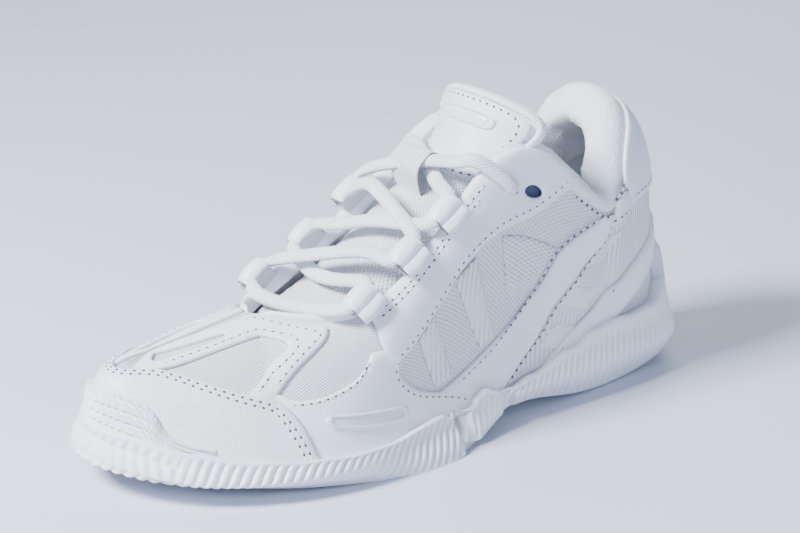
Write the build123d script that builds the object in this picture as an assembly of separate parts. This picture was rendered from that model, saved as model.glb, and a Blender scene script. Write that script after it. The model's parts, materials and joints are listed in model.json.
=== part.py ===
from build123d import *
import os
import numpy as np

# A left cheer shoe. Toe points to -X, the outer (lateral) side to -Y, up is +Z. Millimetres.
# The upper is one curved surface: ribs run from a foot line at the sole (b = 0) to the rim (b = 1),
# and are numbered round the shoe by a: 0 at the heel, 0..10 lateral, 10 at the toe, 10..20 medial.

# ---- driving dimensions -------------------------------------------------------------------------
ORIGIN_X = -1.7          # moves the model so that its box is centred on the origin
ORIGIN_Y = 1.5
STATIONS = 20            # ribs round the shoe
FLEX_X = -56.0           # ball of the foot, where the shoe bends
FLEX_GAP = 0.6           # half of the gap between front and rear sole parts at the flex groove
TREAD = 3.0              # rubber tread pad thickness
INNER = 3.4             # gap kept for the upper inside the sidewall
WALL = 2.2              # rubber sidewall thickness
SKIN = 1.1               # leather and mesh layer thickness
LACE_R = 2.4             # lace radius
FOLD_U = 0.74            # place along the tongue where its top folds

# Foot line of the upper, rim points, and rib bows (out, up at the foot; out, down at the rim).
FOOT = [(131, 0, 16), (121, -22, 15), (93, -30, 14), (60, -32, 13), (26, -33, 13), (-10, -38, 11),
        (-46, -43, 9), (-80, -38, 9), (-107, -24, 10), (-122, -8, 12), (-128, 10, 13), (-123, 27, 13),
        (-107, 39, 12), (-79, 43, 10), (-44, 40, 10), (-8, 33, 12), (28, 28, 14), (62, 27, 15),
        (94, 28, 16), (121, 20, 16)]
RIM = [(-63, 7, 53.5), (-46, 24, 54), (4, 24, 83), (44, 26, 108), (77, 28, 82), (90, 25, 94),
       (98, 17, 108), (101, 0, 113), (98, -17, 107), (88, -26, 90), (78, -30, 79), (41, -25, 107),
       (4, -23, 83), (-33, -22, 57), (-63, 7, 53.5)]
BOW = [(12, 30, 24, 14), (12, 30, 22, 15), (8, 26, 10, 18), (6, 24, 4, 16), (7, 30, 8, 28),
       (9, 24, 14, 18), (9, 20, 16, 10), (9, 17, 28, 3), (9, 16, 26, 3), (10, 16, 24, 4),
       (10, 16, 24, 4), (10, 16, 24, 4), (9, 16, 26, 3), (8, 17, 28, 3), (7, 20, 14, 8),
       (7, 24, 13, 16), (6, 30, 8, 28), (5, 24, 4, 16), (8, 26, 10, 18), (12, 30, 22, 15)]
# Edge of the sole near the ground, with toe spring, arch and heel bevel in its heights.
GROUND = [(137, 2, 9), (127, -20, 6), (100, -27, 1), (64, -31, 2), (30, -34, 6), (-8, -49, 0),
          (-44, -46, 0), (-77, -34, 2), (-103, -16, 4.5), (-119, 1, 6.5), (-126, 14, 8), (-120, 31, 7.5),
          (-104, 42, 5), (-77, 46, 2), (-44, 46, 0), (-8, 41, 1), (30, 29, 6), (62, 28, 2),
          (98, 30, 1), (125, 22, 6)]
# Height of the sidewall's top edge along the ribs, as (a, b), the same on both sides: high at the
# heel, two lobes at the ball and waist, and up to the toe bumper.
WALL_TOP = [(0, 0.42), (0.5, 0.32), (1, 0.22), (1.45, 0.16), (2.2, 0.18), (2.6, 0.19), (3.0, 0.13), (3.6, 0.07),
            (4.05, 0.03), (4.2, 0.08), (4.5, 0.07), (4.75, 0.02), (4.95, 0.09), (5.5, 0.08), (6.2, 0.10),
            (7.3, 0.16), (8.0, 0.19), (9.2, 0.23), (10, 0.25)]
# Tongue centre line (x, y, z), half widths and how far its sides fall back.
TONGUE = [(-56, 5, 47), (-30, 2, 60), (4, 1, 85), (26, 0, 104), (37, 0, 124)]
TONGUE_HALF = [17, 19.5, 19.5, 18, 25]
TONGUE_FALL = [3, 7, 9, 8, 9]

UP = np.array((0.0, 0.0, 1.0))


# ---- curves and surfaces ------------------------------------------------------------------------
def spline(points):
    """Natural cubic spline through the points, one unit of parameter per span."""
    p = np.asarray(points, float)
    n = len(p)
    system = np.eye(n)
    right = np.zeros_like(p)
    for i in range(1, n - 1):
        system[i, i - 1:i + 2] = (1, 4, 1)
        right[i] = 6 * (p[i - 1] - 2 * p[i] + p[i + 1])
    bend = np.linalg.solve(system, right)

    def at(t):
        t = float(np.clip(t, 0, n - 1))
        i = min(int(t), n - 2)
        u = t - i
        w = 1 - u
        return w * p[i] + u * p[i + 1] + ((w**3 - w) * bend[i] + (u**3 - u) * bend[i + 1]) / 6
    return at


def loop(points):
    """The same spline, closed round the shoe."""
    extra = 4
    p = list(points)
    inner = spline(p[-extra:] + p + p[:extra + 1])
    return lambda a: inner(a % STATIONS + extra)


def unit(v):
    return v / max(np.linalg.norm(v), 1e-9)


foot_line = loop(FOOT)
rib_bow = loop(BOW)
ground_line = loop(GROUND)
topline = spline(RIM)
tongue_line = spline(TONGUE)
tongue_half = spline([(w,) for w in TONGUE_HALF])
tongue_fall = spline([(w,) for w in TONGUE_FALL])


def rim(a):
    """Rim point: the topline and throat edge, or the vamp ridge ahead of the throat."""
    k = abs(10 - a % STATIONS)
    if k < 3:
        return np.array((-108, 14, 44.0)) + k * k * np.array((5, -0.78, 1.055))
    return topline((a - 13) % STATIONS)


def surface(a, b):
    """Point on the upper: a cubic rib from the foot line to the rim."""
    foot = foot_line(a)
    top = rim(a)
    out1, up1, out2, down2 = rib_bow(a)
    t = foot_line(a + 0.01) - foot_line(a - 0.01)
    out = unit(np.array((t[1], -t[0], 0)))
    away = unit((foot - top) * (1, 1, 0))
    p1 = foot + out * out1 + UP * up1
    p2 = top + away * out2 - UP * down2
    c = 1 - b
    return c**3 * foot + 3 * b * c * c * p1 + 3 * b * b * c * p2 + b**3 * top


def wall_top(a):
    """Height of the sidewall's top edge at rib a."""
    side = min(a % STATIONS, STATIONS - a % STATIONS)
    for (a0, b0), (a1, b1) in zip(WALL_TOP, WALL_TOP[1:]):
        if side <= a1:
            return b0 + (b1 - b0) * (1 - np.cos(np.pi * (side - a0) / (a1 - a0))) / 2
    return b1


def normal(a, b):
    e = 0.01
    b = min(b, 0.985)
    da = surface(a + e, b) - surface(a - e, b)
    db = surface(a, b + e) - surface(a, max(b - e, 0))
    return unit(np.cross(db, da))


def layer(a, b, t):
    """Point t millimetres outside the upper surface."""
    return surface(a, b) + normal(a, b) * t


def tongue_point(u, v, t):
    """Point on the tongue: u from base to top, v across, t outside its face."""
    k = u * (len(TONGUE) - 1)
    c = tongue_line(k)
    d = tongue_line(min(k + 0.05, len(TONGUE) - 1)) - tongue_line(max(k - 0.05, 0))
    face = unit(np.array((-d[2], 0, d[0])))
    side = np.array((0, 1.0, 0))
    tilt = unit(face + side * v * 0.55)
    return c + side * tongue_half(k)[0] * v - face * tongue_fall(k)[0] * v * v + tilt * t


# ---- solids from point grids --------------------------------------------------------------------
def skin(outer, inner, nu, nv):
    """Solid between two grids of points, each a function of (u, v) in 0..1."""
    faces = []
    for grid in (outer, inner):
        points = [[Vector(*grid(i / nu, j / nv)) for j in range(nv + 1)] for i in range(nu + 1)]
        faces.append(Face.make_surface_from_array_of_points(points, tol=0.02, min_deg=3, max_deg=3))
    sides = []
    for edge in faces[0].edges():
        twin = min(faces[1].edges(), key=lambda e: (e @ 0.5 - edge @ 0.5).length + (e @ 0 - edge @ 0).length)
        sides.append(Face.make_surface_from_curves(edge, twin))
    return outward(faces + sides)


def rings(section, count):
    """Solid through closed polygons given as a function of u in 0..1. The two end ones are made flat."""
    polygons = []
    for i in range(count + 1):
        points = np.array(section(i / count))
        if i in (0, count):
            centre = points.mean(axis=0)
            axis = np.linalg.svd(points - centre)[2][2]
            points = points - np.outer((points - centre) @ axis, axis)
        polygons.append([Vector(*p) for p in points])
    faces = [Face(Wire.make_polygon(polygons[0])), Face(Wire.make_polygon(polygons[-1]))]
    for ring0, ring1 in zip(polygons, polygons[1:]):
        for k, p in enumerate(ring0):
            q, r, s = ring0[k - 1], ring1[k], ring1[k - 1]
            faces.append(Face.make_surface_from_curves(Edge.make_line(p, q), Edge.make_line(r, s)))
    return outward(faces)


def outward(faces):
    """Solid from its faces, turned so that its volume is positive."""
    solid = Solid(Shell(faces))
    if solid.volume < 0:
        solid = Solid(Shell([-f for f in faces]))
    return solid


def panel(edge0, edge1, t0, t1, nu=32, nv=12):
    """Layer of the upper between two edges drawn on it, each a list of (a, b)."""
    one, two = spline(edge0), spline(edge1)
    n1, n2 = len(edge0) - 1, len(edge1) - 1

    def at(t):
        def point(u, v):
            a, b = one(u * n1) * (1 - v) + two(u * n2) * v
            return layer(a, min(max(b, 0.0), 1.0), t)
        return point
    return skin(at(t1), at(t0), nu, nv)


def band(a0, a1, b0, b1, t0, t1, nu=24, nv=10):
    """Layer of the upper between two ribs and two constant b."""
    return panel([(a0, b0), (a1, b0)], [(a0, b1), (a1, b1)], t0, t1, nu, nv)


def mirror_edge(edge):
    """The same edge on the medial side."""
    return [(STATIONS - a, b) for a, b in edge]


def both(name, edge0, edge1, t0, t1, nu=16, nv=8):
    """A lateral panel and its medial twin."""
    save(name + "_lateral", panel(edge0, edge1, t0, t1, nu, nv))
    save(name + "_medial", panel(mirror_edge(edge0), mirror_edge(edge1), t0, t1, nu, nv))


def cross_x(curve, x, a0, a1):
    """Value of a where a loop crosses x, between a0 and a1."""
    rising = curve(a1)[0] > curve(a0)[0]
    for _ in range(40):
        mid = (a0 + a1) / 2
        if (curve(mid)[0] > x) == rising:
            a1 = mid
        else:
            a0 = mid
    return (a0 + a1) / 2


def widths(curve, x):
    """Lateral and medial y of a loop at x."""
    return curve(cross_x(curve, x, 0.1, 9.9))[1], curve(cross_x(curve, x, 19.9, 10.1))[1]


def slab(curve, xs, inset, low, high):
    """Slab inside a loop, lofted through rectangles across the shoe at each x."""
    sections = []
    for x in xs:
        y0, y1 = widths(curve, x)
        y0, y1 = y0 + inset, y1 - inset
        z0, z1 = low(x), high(x)
        sections.append(Polyline((x, y0, z0), (x, y1, z0), (x, y1, z1), (x, y0, z1), close=True))
    faces = [make_face(s) for s in sections]
    return loft(faces, ruled=True)


def steps(x0, x1, count):
    return [x0 + (x1 - x0) * i / count for i in range(count + 1)]


def ramp(pairs):
    """Straight-line interpolation through (x, value) pairs."""
    xs, values = zip(*pairs)
    return lambda x: float(np.interp(x, xs, values))


def tube(points, radius, bend=0.45):
    """Round cord along straight runs joined by tangent arcs."""
    pts = [Vector(*p) for p in points]
    radii = []
    for p, q, r in zip(pts, pts[1:], pts[2:]):
        turn = np.radians(max((q - p).get_angle(r - q), 0.5))
        run = min((q - p).length, (r - q).length)
        radii.append(min(bend * run / np.tan(turn / 2), 400))
    print("cord radii", [round(r, 1) for r in radii])
    path = FilletPolyline(*pts, radius=radii)
    start = Plane(origin=pts[0], z_dir=(pts[1] - pts[0]))
    return sweep(start * Circle(radius), path=path)


def save(name, shape):
    place = Pos(ORIGIN_X, ORIGIN_Y, 0)
    export_step(place * shape, f"parts/{name}.step")
    print(name, round(shape.volume), shape.is_valid)


# ---- sole ---------------------------------------------------------------------------------------
core_top = ramp([(-130, 12.5), (-80, 8.8), (-46, 8.8), (26, 12.5), (92, 13.5), (130, 15.5)])
core_low = ramp([(-130, 10), (-104, 7.6), (-82, 4.6), (-60, TREAD + 0.2), (14, TREAD + 0.2), (22, 7), (44, 7),
                 (54, TREAD + 0.2), (102, TREAD + 0.2), (124, 10)])


def sidewall(a0, a1, count):
    """Rubber wall from the ground edge up the outside of the upper."""
    def section(u):
        a = a0 + (a1 - a0) * u
        out = unit(normal(a, 0.02) * (1, 1, 0))
        low = np.maximum(ground_line(a), (-999, -999, 0))
        foot = foot_line(a)
        top = wall_top(a)
        thick = INNER + WALL
        outer = [low, foot + out * thick, layer(a, top / 2, thick), layer(a, top, thick)]
        return outer + [layer(a, top, INNER), layer(a, top / 2, INNER), foot + out * INNER, low - out * 3.5]
    return rings(section, count)


def build_sole():
    front = FLEX_X - FLEX_GAP
    rear = FLEX_X + FLEX_GAP
    save("sidewall_forefoot", sidewall(6.42, 13.58, 44))
    save("sidewall_rearfoot", sidewall(-6.3, 6.3, 70))
    core_front = slab(foot_line, steps(-118, front, 8), 4.5, lambda x: max(core_low(x), 3.2),
                      lambda x: core_top(x) - 0.1)
    save("midsole_forefoot", core_front)
    core_rear = slab(foot_line, steps(rear, 120, 18), 5.5, core_low, lambda x: core_top(x) - 0.1)
    groove = Pos(46, 0, 12) * Box(86, 16.6, 6)
    save("midsole_rearfoot", core_rear - groove)
    save("shank_plate", Pos(46, 0, 9.9) * Box(84, 16, 1.6))
    toe_tread = ramp([(-112, 5.2), (-100, 3.8), (-86, 2.0), (-74, 0.3), (-60, 0)])
    save("tread_forefoot", slab(ground_line, steps(-108, front - 0.6, 6), 7.0, toe_tread,
                                lambda x: min(toe_tread(x) + 2.4, core_low(x) - 0.1)))
    pads = {"tread_ball": (rear + 1.2, -24), "tread_waist_pod": (-20, 12), "tread_heel": (62, 100)}
    for name, (x0, x1) in pads.items():
        save(name, slab(ground_line, steps(x0, x1, 3), 6.0, lambda x: 0.0, lambda x: TREAD))
    bevel = ramp([(102, 0), (124, 7)])
    save("tread_heel_bevel", slab(ground_line, steps(103, 122, 3), 6.5, bevel, lambda x: bevel(x) + 2.4))


def build_inside():
    board = core_top
    save("insole_board_forefoot", slab(foot_line, steps(-118, FLEX_X - 1, 6), 5.5, board,
                                       lambda x: board(x) + 1.4))
    save("insole_board_rearfoot", slab(foot_line, steps(FLEX_X + 1, 116, 12), 5.5, board,
                                       lambda x: board(x) + 1.4))
    save("sockliner", slab(foot_line, steps(-102, 106, 18), 9.5, lambda x: board(x) + 1.6,
                           lambda x: board(x) + 5.6))
    save("heel_counter", band(-2.6, 2.6, 0.12, 0.54, -3.3, -2.3, 56, 12))
    save("toe_puff", band(7.7, 12.3, 0.10, 0.74, -2.35, -1.25, 36, 10))


def shell(a0, a1, t0, t1, count=36, rows=8):
    """Layer of the upper over its whole height, between two ribs."""
    heights = steps(0.0, 0.995, rows)

    def section(u):
        a = a0 + (a1 - a0) * u
        return [layer(a, b, t1) for b in heights] + [layer(a, b, t0) for b in reversed(heights)]
    return rings(section, count)


def collar(depth0, depth1, count=30):
    """Strip round the inside of the ankle opening, between two depths in from the upper."""
    reach = 3.5

    def section(u):
        a = reach * (2 * u - 1)
        side = abs(a) / reach
        low, high = 0.78 + 0.06 * side, 0.975 - 0.01 * side
        thin = 1 - 0.35 * side

        def inside(b, depth):
            p = surface(a, b)
            return p + unit((np.array((62, 0, 0)) - p) * (1, 1, 0)) * depth * thin
        middle = (low + high) / 2
        return [inside(low, depth0), inside(middle, depth0), inside(high, depth0),
                inside(high, depth1), inside(middle, depth1), inside(low, depth1)]
    return rings(section, count)


# ---- upper --------------------------------------------------------------------------------------
def build_upper():
    # inner lining and base mesh
    save("vamp_lining", band(7.25, 12.75, 0.10, 0.985, -3.8, -2.9, 36, 12))
    save("quarter_lining_lateral", band(0.20, 5.50, 0.12, 0.90, -4.6, -3.6, 56, 14))
    save("quarter_lining_medial", band(14.50, 19.80, 0.12, 0.90, -4.6, -3.6, 56, 14))
    save("vamp_mesh", band(7.08, 12.92, 0.0, 0.99, -1.0, 0.1, 40, 14))
    save("flex_gusset_lateral", band(5.68, 7.02, 0.0, 0.97, -1.0, 0.1, 10, 10))
    save("flex_gusset_medial", band(12.98, 14.32, 0.0, 0.97, -1.0, 0.1, 10, 10))
    save("quarter_mesh_lateral", shell(0.06, 5.62, -1.0, 0.1))
    save("quarter_mesh_medial", shell(14.38, 19.94, -1.0, 0.1))

    # leather overlays, first layer
    low, high = 0.35, 0.35 + SKIN
    side_low = [(4.45, 0.0), (5.2, 0.0), (6.0, 0.0), (6.9, 0.0)]
    side_high = [(4.6, 0.06), (5.12, 0.19), (5.4, 0.32), (5.52, 0.46), (5.8, 0.60), (6.15, 0.47),
                 (6.5, 0.43), (6.9, 0.40)]
    both("side_panel", side_low, side_high, low, high, 40, 10)
    fingers = band(6.95, 9.3, 0.44, 0.95, low, high, 16, 12)
    leaf_window = panel([(7.6, 0.91), (8.9, 0.92)], [(7.6, 0.84), (8.9, 0.91)], -1, 3, 6, 4)
    finger_window = panel([(7.1, 0.79), (8.3, 0.78)], [(7.1, 0.66), (8.3, 0.74)], -1, 3, 6, 4)
    save("vamp_overlay_lateral", fingers - leaf_window - finger_window)
    fingers = band(10.7, 13.05, 0.44, 0.95, low, high, 16, 12)
    finger_window = panel([(12.9, 0.79), (11.7, 0.78)], [(12.9, 0.66), (11.7, 0.74)], -1, 3, 6, 4)
    save("vamp_overlay_medial", fingers - finger_window)
    both("front_band", [(3.1, 0.93), (3.4, 0.62), (3.75, 0.33), (4.15, 0.21), (4.4, 0.05)],
         [(2.2, 0.86), (2.9, 0.65), (3.23, 0.41), (3.55, 0.17), (3.95, 0.02)], low, high, 40, 10)
    both("rear_band", [(1.0, 0.44), (2.05, 0.38), (2.48, 0.33), (2.95, 0.22), (3.55, 0.02)],
         [(1.0, 0.30), (1.9, 0.21), (2.35, 0.14), (2.85, 0.07), (3.3, 0.0)], low, high, 40, 10)
    both("cage_strap_front", [(5.22, 0.46), (4.95, 0.23)], [(5.05, 0.52), (4.72, 0.24)], low, high, 14, 8)
    both("cage_strap_rear", [(4.7, 0.57), (4.3, 0.26)], [(4.48, 0.60), (4.12, 0.29)], low, high, 14, 8)
    both("quarter_patch", [(4.12, 0.63), (3.88, 0.36)], [(3.5, 0.66), (3.65, 0.47)], low, high, 16, 10)
    save("heel_tab", panel([(-1.5, 0.60), (1.5, 0.60)], [(-1.9, 0.95), (1.9, 0.95)], low, high, 40, 10))

    # leather overlays, second layer
    low, high = high + 0.25, high + 0.25 + SKIN
    cap_low = [(6.6, 0.0), (10, 0.0), (13.4, 0.0)]
    cap_high = [(6.6, 0.06), (6.75, 0.29), (6.95, 0.41), (7.3, 0.48), (7.9, 0.62), (8.6, 0.78), (9.4, 0.84),
                (10, 0.84), (10.6, 0.84), (11.4, 0.78), (12.1, 0.62), (12.7, 0.48), (13.05, 0.41),
                (13.25, 0.29), (13.4, 0.06)]
    save("toe_cap", panel(cap_low, cap_high, low, high, 56, 12))
    both("eyestay", [(5.92, 0.97), (5.45, 0.98), (4.95, 0.985), (4.3, 0.985), (3.9, 0.985), (3.55, 0.985)],
         [(5.56, 0.47), (5.08, 0.56), (4.6, 0.64), (4.25, 0.67), (3.93, 0.70), (3.52, 0.93)], low, high, 40, 10)

    save("collar_padding", collar(7.6, 12.6))
    save("collar_lining", collar(13.0, 14.2))
    # rubber toe bumper over the cap
    save("toe_bumper", panel([(7.9, 0.22), (9.0, 0.26), (10, 0.28), (11.0, 0.26), (12.1, 0.22)],
                             [(8.0, 0.25), (8.4, 0.40), (9.2, 0.58), (10, 0.64), (10.8, 0.58), (11.6, 0.40), (12.0, 0.25)],
                             high + 0.25, high + 1.9, 36, 10))


# ---- tongue and lacing --------------------------------------------------------------------------
def tongue_part(u0, u1, v1, t0, t1, nu=12, nv=10):
    def at(t):
        return lambda u, v: tongue_point(u0 + (u1 - u0) * u, v1 * (2 * v - 1), t)
    return skin(at(t1), at(t0), nu, nv)


def build_tongue():
    save("tongue_body", tongue_part(0.16, FOLD_U - 0.012, 0.97, -3.5, 0.0, 20, 12))
    save("tongue_top", tongue_part(FOLD_U + 0.012, 0.99, 0.97, -5.5, 0.0))
    save("tongue_panel", tongue_part(FOLD_U + 0.02, 0.965, 0.86, 0.15, 1.1))
    save("tongue_lining", tongue_part(FOLD_U + 0.02, 0.97, 0.92, -6.4, -5.65))
    save("tongue_badge", tongue_part(0.86, 0.93, 0.42, 1.2, 2.0, 6, 6))
    save("lace_keeper", tongue_part(0.60, 0.70, 0.30, 6.4, 7.4, 6, 6))


def throat(u, y, h):
    """Point on the plane of the throat: u along it, y across, h above it."""
    return (-40 + 0.819 * u - 0.574 * h, y, 54 + 0.574 * u + 0.819 * h)


# Lace loops: place along the throat, across it, and height of the lace above its plane.
LOOPS = {"medial_1": (-3, 26, 9.5), "medial_2": (22, 25, 6.5), "medial_3": (46, 24, 6),
         "lateral_1": (8, -25, 6), "lateral_2": (32, -26, 6), "lateral_3": (54, -26, 6)}
# Route of the lace in throat coordinates (along, across, above): from the end behind the medial edge,
# down through the crossings, round the straight front bar, and up again to the lateral eyelet.
LACE = [(86, 14, 2), (83, 19, 7), (77, 14, 10), (70, 0, 11.5), (63, -14, 9), (60, -23, 7), (54, -26, 6), (47, -25, 6),
        (42, -16, 7), (37, -2, 8.5), (31, 12, 7.5), (28, 21, 7), (22, 25, 6.5), (15, 24, 7), (11, 14, 6.5), (9, 1, 6),
        (12, -12, 5.5), (14, -22, 6), (8, -25, 6), (1, -23, 6.5), (-4, -10, 6), (-8, 6, 6.5), (-9, 20, 8.5),
        (-3, 26, 9.5), (4, 25, 9), (8, 14, 12), (16, -2, 12.5), (24, -15, 10), (26, -23, 7), (32, -26, 6),
        (39, -24, 6.5), (43, -14, 10), (47, 0, 14.5), (48, 13, 12), (46, 24, 6), (54, 24.5, 8), (59, 16, 14),
        (63, 4, 17), (68, -8, 16.5), (73, -18, 13), (77, -25, 9)]


def build_lacing():
    for name, (u, y, h) in LOOPS.items():
        start = Vector(*throat(u - 5, y, h))
        stop = Vector(*throat(u + 5, y, h))
        frame = Plane(origin=start, z_dir=stop - start)
        ring = Circle(LACE_R + 1.7) - Circle(LACE_R + 0.6)
        save("lace_loop_" + name, extrude(frame * ring, 10))


    route = [throat(u, y, h) for u, y, h in LACE]
    save("lace", tube(route, LACE_R))


os.makedirs("parts", exist_ok=True)
build_sole()
build_inside()
build_upper()
build_tongue()
build_lacing()
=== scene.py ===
import json
import math
import bpy
import numpy as np
from mathutils import Matrix, Vector, geometry


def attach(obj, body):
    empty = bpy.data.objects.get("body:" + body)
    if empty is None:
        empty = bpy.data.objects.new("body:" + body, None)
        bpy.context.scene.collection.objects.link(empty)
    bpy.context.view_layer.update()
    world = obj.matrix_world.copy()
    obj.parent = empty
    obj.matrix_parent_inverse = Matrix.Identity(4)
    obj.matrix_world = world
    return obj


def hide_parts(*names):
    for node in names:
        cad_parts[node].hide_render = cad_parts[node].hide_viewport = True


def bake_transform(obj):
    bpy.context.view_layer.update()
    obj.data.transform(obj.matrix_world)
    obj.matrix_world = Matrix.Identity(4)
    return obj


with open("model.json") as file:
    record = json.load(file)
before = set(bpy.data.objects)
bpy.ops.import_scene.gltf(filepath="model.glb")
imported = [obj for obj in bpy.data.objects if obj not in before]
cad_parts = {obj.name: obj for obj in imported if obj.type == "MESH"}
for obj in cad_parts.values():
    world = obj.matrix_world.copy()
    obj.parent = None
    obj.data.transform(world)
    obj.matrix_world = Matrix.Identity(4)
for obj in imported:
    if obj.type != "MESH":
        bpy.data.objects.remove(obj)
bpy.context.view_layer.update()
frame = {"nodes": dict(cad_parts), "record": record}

# The upper is one curved surface, in millimetres: ribs numbered by a run
# round the shoe (0 heel, 0..10 lateral, 10 toe), and b goes from the foot line (0) to the rim (1).
MM = 0.001
ORIGIN = np.array((-1.7, 0.8, 0.0))
N = 20
FOOT = [(131, 0, 16), (121, -22, 15), (93, -30, 14), (60, -32, 13), (26, -33, 13), (-10, -38, 11),
        (-46, -43, 9), (-80, -38, 9), (-107, -24, 10), (-122, -8, 12), (-128, 10, 13), (-123, 27, 13),
        (-107, 39, 12), (-79, 43, 10), (-44, 40, 10), (-8, 33, 12), (28, 28, 14), (62, 27, 15),
        (94, 28, 16), (121, 20, 16)]
RIM = [(-63, 7, 53.5), (-46, 24, 54), (4, 24, 83), (44, 26, 108), (77, 28, 82), (90, 25, 94),
       (98, 17, 108), (101, 0, 113), (98, -17, 107), (88, -26, 90), (78, -30, 79), (41, -25, 107),
       (4, -23, 83), (-33, -22, 57), (-63, 7, 53.5)]
BOW = [(12, 30, 24, 14), (12, 30, 22, 15), (8, 26, 10, 18), (6, 24, 4, 16), (7, 30, 8, 28),
       (9, 24, 14, 18), (9, 20, 16, 10), (9, 17, 28, 3), (9, 16, 26, 3), (10, 16, 24, 4),
       (10, 16, 24, 4), (10, 16, 24, 4), (9, 16, 26, 3), (8, 17, 28, 3), (7, 20, 14, 8),
       (7, 24, 13, 16), (6, 30, 8, 28), (5, 24, 4, 16), (8, 26, 10, 18), (12, 30, 22, 15)]
GROUND = [(137, 2, 9), (127, -20, 6), (100, -27, 1), (64, -31, 2), (30, -34, 6), (-8, -49, 0),
          (-44, -46, 0), (-77, -34, 2), (-103, -16, 4.5), (-119, 1, 6.5), (-126, 14, 8), (-120, 31, 7.5),
          (-104, 42, 5), (-77, 46, 2), (-44, 46, 0), (-8, 41, 1), (30, 29, 6), (62, 28, 2),
          (98, 30, 1), (125, 22, 6)]
TONGUE = [(-56, 5, 47), (-30, 2, 60), (4, 1, 85), (26, 0, 104), (37, 0, 124)]
TONGUE_HALF = [17, 19.5, 19.5, 18, 25]
TONGUE_FALL = [3, 7, 9, 8, 9]
# Height of the rubber wall's top edge as (a, b): high at the heel, two lobes at the waist and ball.
WALL_TOP = [(0, 0.40), (0.5, 0.29), (1, 0.20), (1.45, 0.15), (1.9, 0.165), (2.2, 0.19), (2.6, 0.19),
        (3.0, 0.125),
            (3.6, 0.04), (3.95, 0.01), (4.1, 0.01), (4.22, 0.03), (4.34, 0.055), (4.45, 0.04),
            (4.58, 0.005),
            (4.7, 0.0), (4.84, 0.0), (4.93, 0.01), (5.04, 0.04), (5.3, 0.04), (5.7, 0.03), (6.2, 0.04),
            (6.7, 0.06), (7.3, 0.09), (8.0, 0.15), (9.2, 0.22), (10, 0.24)]


def spline(points):
    """Natural cubic spline through the points, one unit of parameter per span."""
    p = np.asarray(points, float)
    n = len(p)
    system = np.eye(n)
    right = np.zeros_like(p)
    for i in range(1, n - 1):
        system[i, i - 1:i + 2] = (1, 4, 1)
        right[i] = 6 * (p[i - 1] - 2 * p[i] + p[i + 1])
    bend = np.linalg.solve(system, right)

    def at(t):
        t = np.clip(np.asarray(t, float), 0, n - 1)
        i = np.minimum(t.astype(int), n - 2)
        u = (t - i)[..., None]
        w = 1 - u
        return w * p[i] + u * p[i + 1] + ((w**3 - w) * bend[i] + (u**3 - u) * bend[i + 1]) / 6
    return at


def loop(points):
    extra = 4
    p = list(points)
    inner = spline(p[-extra:] + p + p[:extra + 1])
    return lambda a: inner(np.mod(a, N) + extra)


def unit(v):
    return v / np.maximum(np.linalg.norm(v, axis=-1, keepdims=True), 1e-9)


foot_line, rib_bow, ground_line = loop(FOOT), loop(BOW), loop(GROUND)
topline = spline(RIM)
tongue_line = spline(TONGUE)
tongue_half = spline([(w,) for w in TONGUE_HALF])
tongue_fall = spline([(w,) for w in TONGUE_FALL])
UP = np.array((0.0, 0.0, 1.0))


def rim(a):
    a = np.mod(np.asarray(a, float), N)
    k = np.abs(10 - a)[..., None]
    ridge = np.array((-108, 14, 44.0)) + k * k * np.array((5, -0.78, 1.055))
    return np.where(k < 3, ridge, topline(np.mod(a - 13, N)))


def surface(a, b):
    a, b = np.broadcast_arrays(np.asarray(a, float), np.asarray(b, float))
    b = b[..., None]
    foot, top, bow = foot_line(a), rim(a), rib_bow(a)
    t = foot_line(a + 0.01) - foot_line(a - 0.01)
    out = unit(np.stack([t[..., 1], -t[..., 0], 0 * t[..., 0]], -1))
    away = unit((foot - top) * (1, 1, 0))
    p1 = foot + out * bow[..., 0:1] + UP * bow[..., 1:2]
    p2 = top + away * bow[..., 2:3] - UP * bow[..., 3:4]
    c = 1 - b
    return c**3 * foot + 3 * b * c * c * p1 + 3 * b * b * c * p2 + b**3 * top


def normal(a, b):
    e = 0.01
    b = np.clip(b, 0, 0.985)
    da = surface(a + e, b) - surface(a - e, b)
    db = surface(a, b + e) - surface(a, np.maximum(b - e, 0))
    return unit(np.cross(db, da))


def layer(a, b, t):
    a, b, t = np.broadcast_arrays(np.asarray(a, float), np.asarray(b, float), np.asarray(t, float))
    return surface(a, b) + normal(a, b) * t[..., None]


def wall_top(a):
    side = np.mod(np.asarray(a, float), N)
    side = np.minimum(side, N - side)
    xs, ys = np.array(WALL_TOP).T
    i = np.clip(np.searchsorted(xs, side) - 1, 0, len(xs) - 2)
    f = np.clip((side - xs[i]) / (xs[i + 1] - xs[i]), 0, 1)
    return ys[i] + (ys[i + 1] - ys[i]) * (1 - np.cos(np.pi * f)) / 2


def tongue_point(u, v, t):
    u, v, t = np.broadcast_arrays(np.asarray(u, float), np.asarray(v, float), np.asarray(t, float))
    last = len(TONGUE) - 1
    k = u * last
    c = tongue_line(k)
    d = tongue_line(np.minimum(k + 0.05, last)) - tongue_line(np.maximum(k - 0.05, 0))
    face = unit(np.stack([-d[..., 2], 0 * d[..., 0], d[..., 0]], -1))
    side = np.array((0, 1.0, 0))
    tilt = unit(face + side * v[..., None] * 0.55)
    v = v[..., None]
    return c + side * tongue_half(k) * v - face * tongue_fall(k) * v * v + tilt * t[..., None]


def throat(u, y, h):
    return np.array((-40 + 0.819 * u - 0.574 * h, y, 54 + 0.574 * u + 0.819 * h))


# ---- materials ----------------------------------------------------------------------------------
def new_material(name, color, roughness):
    m = bpy.data.materials.new(name)
    m.use_nodes = True
    tree = m.node_tree
    shader = tree.nodes["Principled BSDF"]
    shader.inputs["Base Color"].default_value = (*color, 1)
    shader.inputs["Roughness"].default_value = roughness
    return m, tree, shader


def link(tree, a, out, b, inp):
    tree.links.new(a.outputs[out], b.inputs[inp])


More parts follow.
